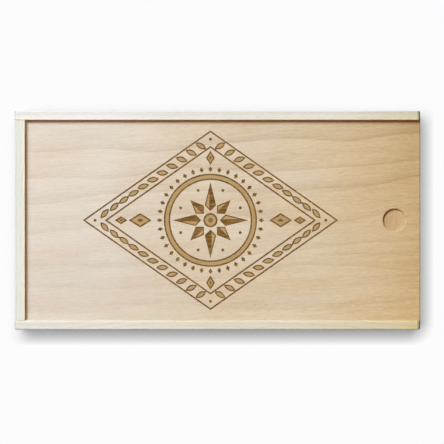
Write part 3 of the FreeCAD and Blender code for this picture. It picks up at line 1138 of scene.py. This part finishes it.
def make_sky(stage):
    """Warm light from above, light from below as off a pale table, and a pale backdrop where it is seen."""
    world = bpy.data.worlds.new("sky")
    world.use_nodes = True
    tree = world.node_tree
    root = Socket(tree)
    way = root.node("ShaderNodeTexCoord", give="Generated")
    height = root.node("ShaderNodeSeparateXYZ", {"Vector": way}, give="Z")
    tone = mixed(smooth_step(height, HORIZON_SHARES), rgba(stage.table), rgba(stage.sky))
    light = root.node("ShaderNodeBackground", {"Color": tone})
    backdrop = root.node("ShaderNodeBackground", {"Color": rgba(stage.background)})
    both = root.node("ShaderNodeMixShader", {0: seen_directly(root), 1: light, 2: backdrop})
    root.feed(tree.nodes["World Output"].inputs["Surface"], both)
    tree.nodes.remove(tree.nodes["Background"])
    bpy.context.scene.world = world


def make_key_lamp(stage):
    """One large soft lamp over the corner of the closed end and the back."""
    lamp = bpy.data.lights.new("key_lamp", "AREA")
    lamp.color = stage.key
    lamp.energy = stage.key_power
    lamp.size = stage.key_size
    holder = bpy.data.objects.new("key_lamp", lamp)
    holder.location = (stage.key_x, stage.key_y, stage.key_z)
    rim = Vector((0.0, 0.0, cad_box[1].z))
    holder.rotation_euler = (rim - holder.location).to_track_quat("-Z", "Y").to_euler()
    bpy.context.scene.collection.objects.link(holder)


def make_camera(stage):
    """A camera that looks straight down on the lid."""
    lens_data = bpy.data.cameras.new("camera")
    lens_data.sensor_width = PICTURE_SENSOR
    lens_data.lens = PICTURE_SENSOR * stage.view_distance / stage.view_width
    camera = bpy.data.objects.new("camera", lens_data)
    camera.location = (stage.view_x, stage.view_y, cad_box[1].z + stage.view_distance)
    bpy.context.scene.collection.objects.link(camera)
    bpy.context.scene.camera = camera


# Operators

class GIFTBOX_OT_finish_boards(bpy.types.Operator):
    """Give the four boards planed wood with the grain along each"""

    bl_idname = "gift_box.finish_boards"
    bl_label = "Finish boards"

    def execute(self, context):
        for node, cut in BOARD_CUTS.items():
            coat(node, board_wood(node, cut, context.scene.gift_box_colours))
        return {"FINISHED"}


class GIFTBOX_OT_finish_plies(bpy.types.Operator):
    """Give the plies of the base and the lid their veneers and cores"""

    bl_idname = "gift_box.finish_plies"
    bl_label = "Finish plies"

    def execute(self, context):
        colours = context.scene.gift_box_colours
        veneer = plain_veneer(colours)
        core = ply_core(colours)
        for node in PLAIN_PLIES:
            coat(node, veneer)
        for node in CORE_PLIES:
            coat(node, core)
        return {"FINISHED"}


class GIFTBOX_OT_finish_brads(bpy.types.Operator):
    """Give the brads brushed steel"""

    bl_idname = "gift_box.finish_brads"
    bl_label = "Finish brads"

    def execute(self, context):
        steel = brad_steel(context.scene.gift_box_colours)
        for node in BRADS:
            coat(node, steel)
        return {"FINISHED"}


class GIFTBOX_OT_engrave_lid(bpy.types.Operator):
    """Make the lid's face ply with its engraved panel"""

    bl_idname = "gift_box.engrave_lid"
    bl_label = "Engrave lid"

    def execute(self, context):
        make_engraved_lid(context.scene.gift_box_lid, context.scene.gift_box_colours)
        return {"FINISHED"}


class GIFTBOX_OT_set_stage(bpy.types.Operator):
    """Lay the floor and set the lamp, the sky and the camera"""

    bl_idname = "gift_box.set_stage"
    bl_label = "Set stage"

    def execute(self, context):
        stage = context.scene.gift_box_stage
        context.scene.view_settings.view_transform = "Standard"
        make_floor(stage)
        make_sky(stage)
        make_key_lamp(stage)
        make_camera(stage)
        return {"FINISHED"}


class GIFTBOX_PT_panel(bpy.types.Panel):
    """Buttons and values of the gift box"""

    bl_idname = "GIFTBOX_PT_panel"
    bl_label = "Gift box"
    bl_space_type = "VIEW_3D"
    bl_region_type = "UI"
    bl_category = "Gift box"

    def draw(self, context):
        for operator in OPERATORS:
            self.layout.operator(operator.bl_idname)
        for name, group in GROUPS.items():
            column = self.layout.column()
            for key in group.__annotations__:
                column.prop(getattr(context.scene, name), key)


GROUPS = {
    "gift_box_colours": GiftBoxColours,
    "gift_box_lid": GiftBoxLid,
    "gift_box_stage": GiftBoxStage,
}
OPERATORS = (
    GIFTBOX_OT_finish_boards,
    GIFTBOX_OT_finish_plies,
    GIFTBOX_OT_finish_brads,
    GIFTBOX_OT_engrave_lid,
    GIFTBOX_OT_set_stage,
)
CLASSES = (*GROUPS.values(), *OPERATORS, GIFTBOX_PT_panel)


def register():
    """Adds the classes and the scene's values."""
    for each in CLASSES:
        bpy.utils.register_class(each)
    for name, group in GROUPS.items():
        setattr(bpy.types.Scene, name, bpy.props.PointerProperty(type=group))


def unregister():
    """Takes the classes and the scene's values away again."""
    for name in GROUPS:
        delattr(bpy.types.Scene, name)
    for each in reversed(CLASSES):
        bpy.utils.unregister_class(each)


def main():
    register()
    bpy.ops.gift_box.finish_boards()
    bpy.ops.gift_box.finish_plies()
    bpy.ops.gift_box.finish_brads()
    bpy.ops.gift_box.engrave_lid()
    bpy.ops.gift_box.set_stage()


if __name__ == "__main__":
    main()
